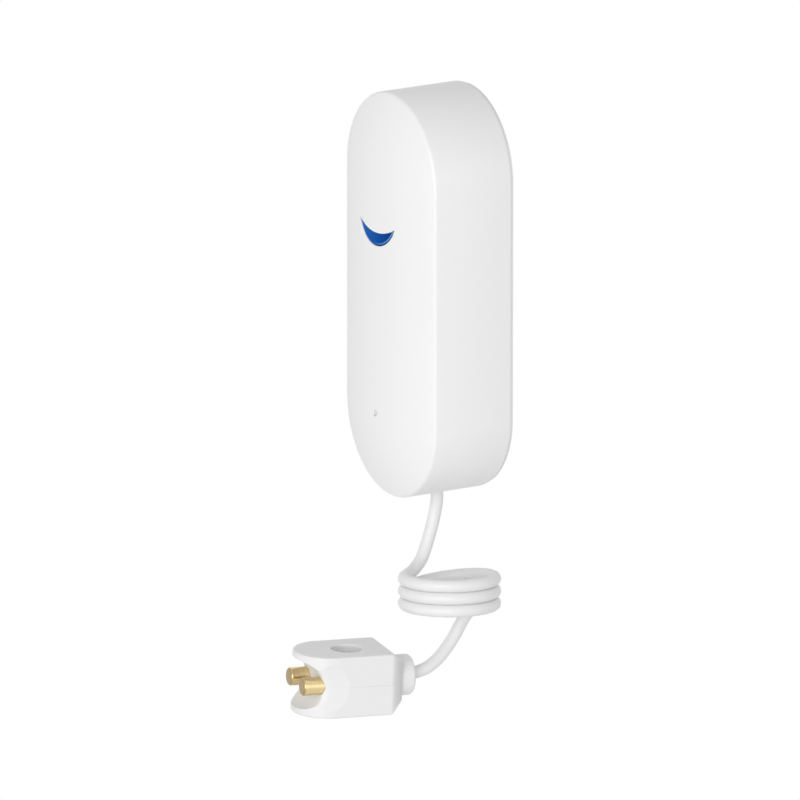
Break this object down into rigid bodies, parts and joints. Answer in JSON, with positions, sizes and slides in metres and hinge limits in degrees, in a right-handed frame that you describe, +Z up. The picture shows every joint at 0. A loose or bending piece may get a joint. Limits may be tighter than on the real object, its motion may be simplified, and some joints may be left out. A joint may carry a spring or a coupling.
{
  "type": "water leak sensor",
  "caption": "Wall-hung water leak sensor: a pill-shaped white alarm body with a crescent indicator lens, and a pinned probe head on a short coiled lead.",
  "frame": {"origin": "middle of the wall plate's back face, on the wall", "axes": "+Z up, +X to the right seen from the front, +Y into the wall; the front faces -Y"},
  "size_m": [0.0441, 0.0474, 0.1421],
  "materials": {
    "white_abs": "satin moulded",
    "plate_abs": "fine textured moulded",
    "lens_acrylic": "polished translucent",
    "silicone_seal": "matt moulded",
    "zinc_steel": "zinc plated",
    "tinned_steel": "tinned",
    "gold_plate": "gold plated, turned",
    "board_laminate": "solder mask",
    "cell_jacket": "printed sleeve, left plain",
    "dark_nylon": "moulded",
    "lead_insulation": "extruded",
    "lead_jacket": "satin extruded",
    "foam_tape": "matt foam",
    "ceramic": "smooth"
  },
  "bodies": {
    "bracket": {"wall_plate": "plate_abs", "adhesive_pad": "foam_tape"},
    "sensor": {"rear_cover": "plate_abs", "cover_seal": "silicone_seal", "cover_screws": "zinc_steel", "front_shell": "white_abs", "indicator_lens": "lens_acrylic", "status_led": "ceramic", "circuit_board": "board_laminate", "board_screws": "zinc_steel", "radio_shield": "tinned_steel", "radio_antenna": "ceramic", "reset_switch": "dark_nylon", "battery_tray": "dark_nylon", "battery_cell_left": "cell_jacket", "battery_cell_right": "cell_jacket", "spring_contact": "tinned_steel", "plus_contact": "tinned_steel", "bridge_contact": "tinned_steel", "probe_header": "ceramic", "probe_plug": "plate_abs", "inner_leads": "lead_insulation", "inner_cord": "lead_jacket", "cord_clamp": "dark_nylon", "clamp_screws": "zinc_steel", "cord_grommet": "lead_jacket", "cord_upper": "lead_jacket", "cord_coil": "lead_jacket", "cord_lower": "lead_jacket", "probe_collar": "lead_jacket", "probe_upper_half": "white_abs", "probe_lower_half": "white_abs", "probe_pin_left": "gold_plate", "probe_pin_right": "gold_plate", "probe_leads": "lead_insulation"},
    "plunger": {"reset_plunger": "white_abs"}
  },
  "joints": [
    {"name": "lift_off", "type": "slide", "parent": "bracket", "child": "sensor", "axis": [0, 0, 1], "range_m": [0, 0.008]},
    {"name": "reset_press", "type": "slide", "parent": "sensor", "child": "plunger", "axis": [0, 1, 0], "range_m": [0, 0.00025], "stiffness_N_per_m": 4000}
  ]
}
